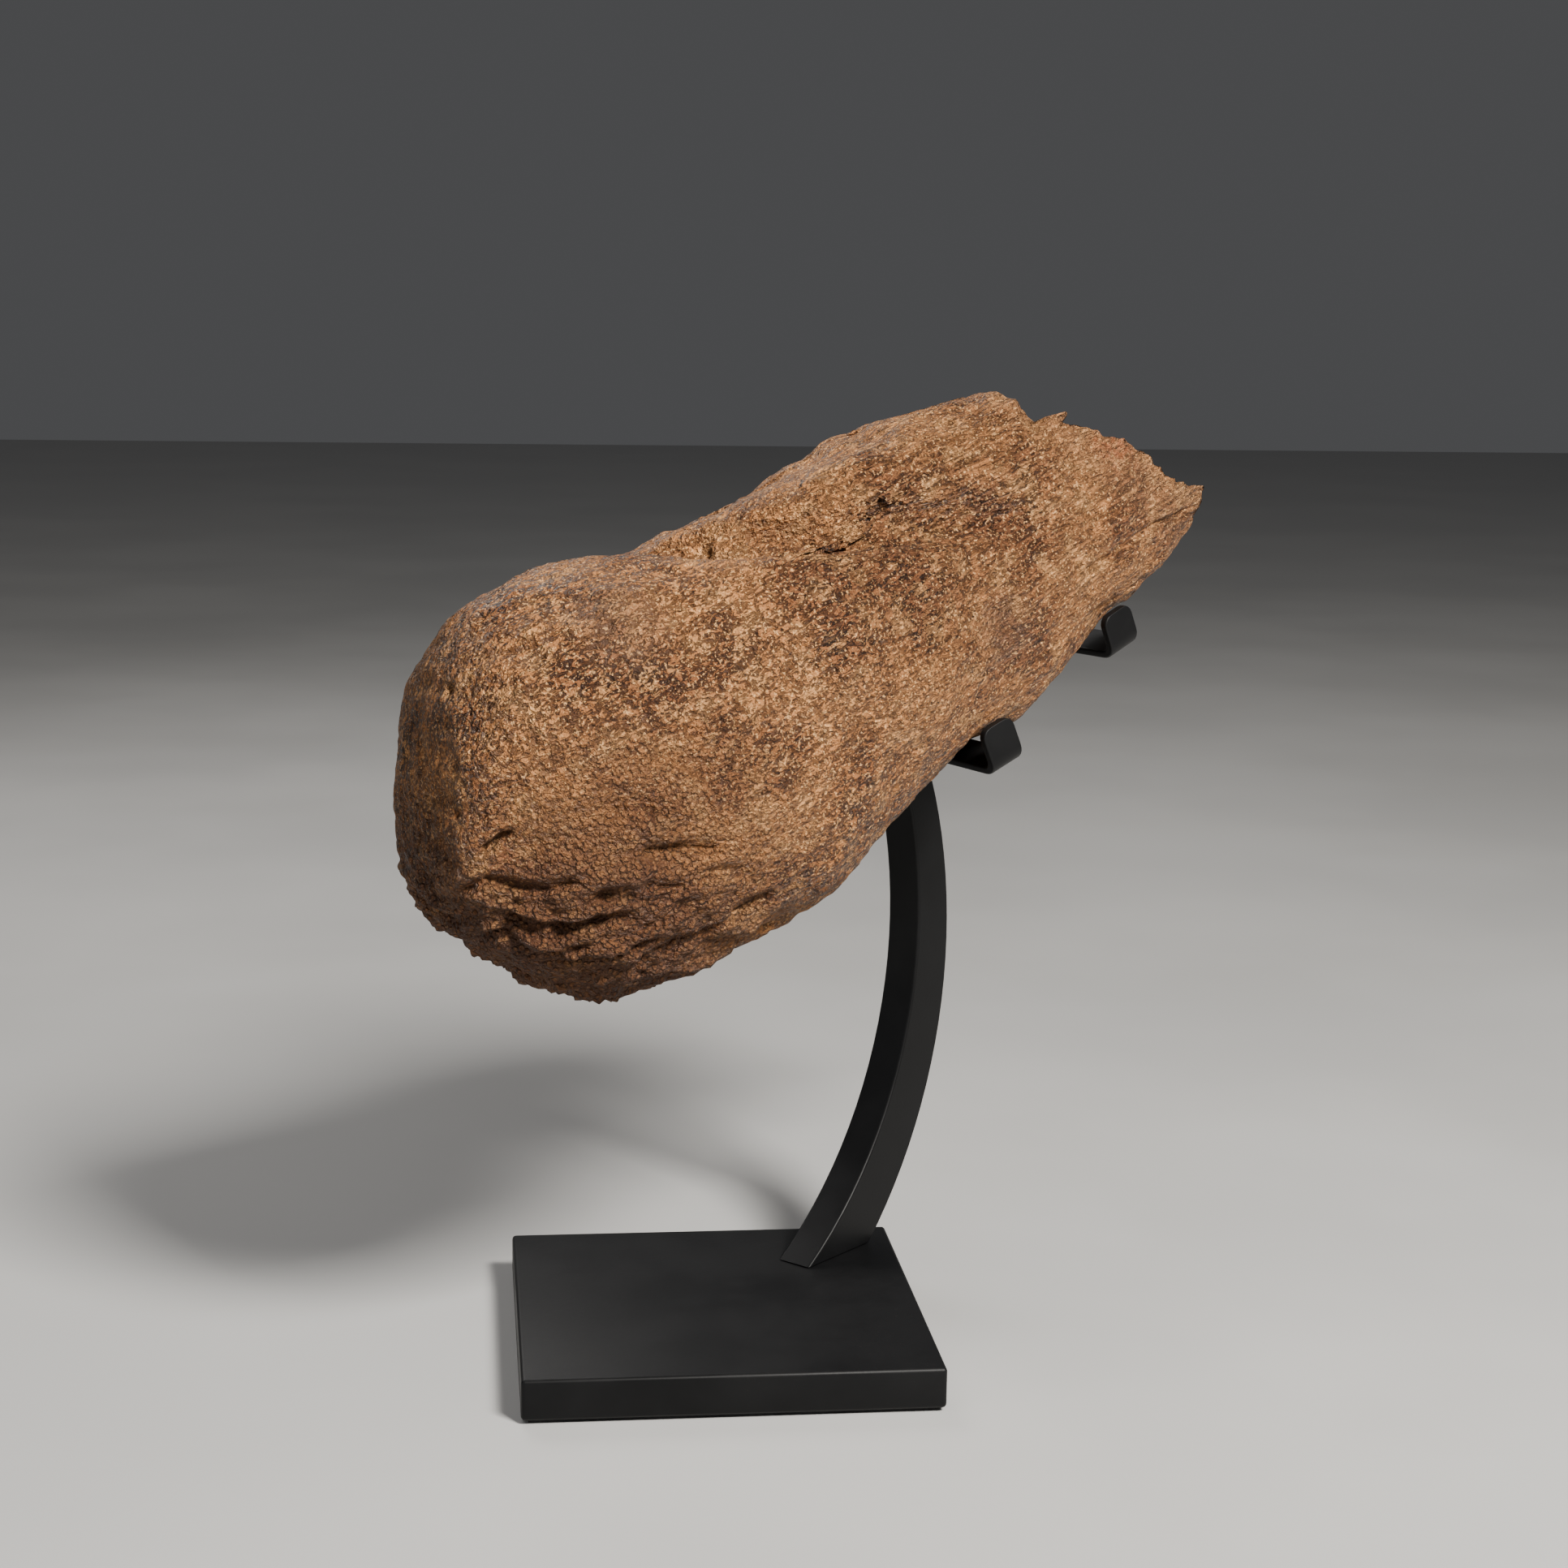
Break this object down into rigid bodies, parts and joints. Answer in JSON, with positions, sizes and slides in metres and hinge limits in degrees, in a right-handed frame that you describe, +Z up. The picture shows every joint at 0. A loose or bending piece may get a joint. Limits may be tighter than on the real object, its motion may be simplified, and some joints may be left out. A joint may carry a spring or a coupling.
{
  "type": "fossil triceratops nose horn on a display stand",
  "caption": "Fossil triceratops nose horn lying in the hooks of a curved black steel stand with a square base plate.",
  "frame": {"origin": "middle of the underside of the base plate's pad, where the stand meets the table", "axes": "+Z up, +X to the right and +Y to the back as the stand is looked at from its front"},
  "size_m": [0.266, 0.1724, 0.2987],
  "materials": {
    "fossil_bone": "mineralised bone, tan and brown, part matte and part glossy",
    "black_steel": "satin black paint",
    "felt": "thin black felt"
  },
  "bodies": {
    "root": {"horn": "fossil_bone", "base_plate": "black_steel", "arm": "black_steel", "cross_bar": "black_steel", "rear_prong": "black_steel", "lower_hook": "black_steel", "upper_hook": "black_steel", "felt_pad": "felt"}
  },
  "joints": []
}
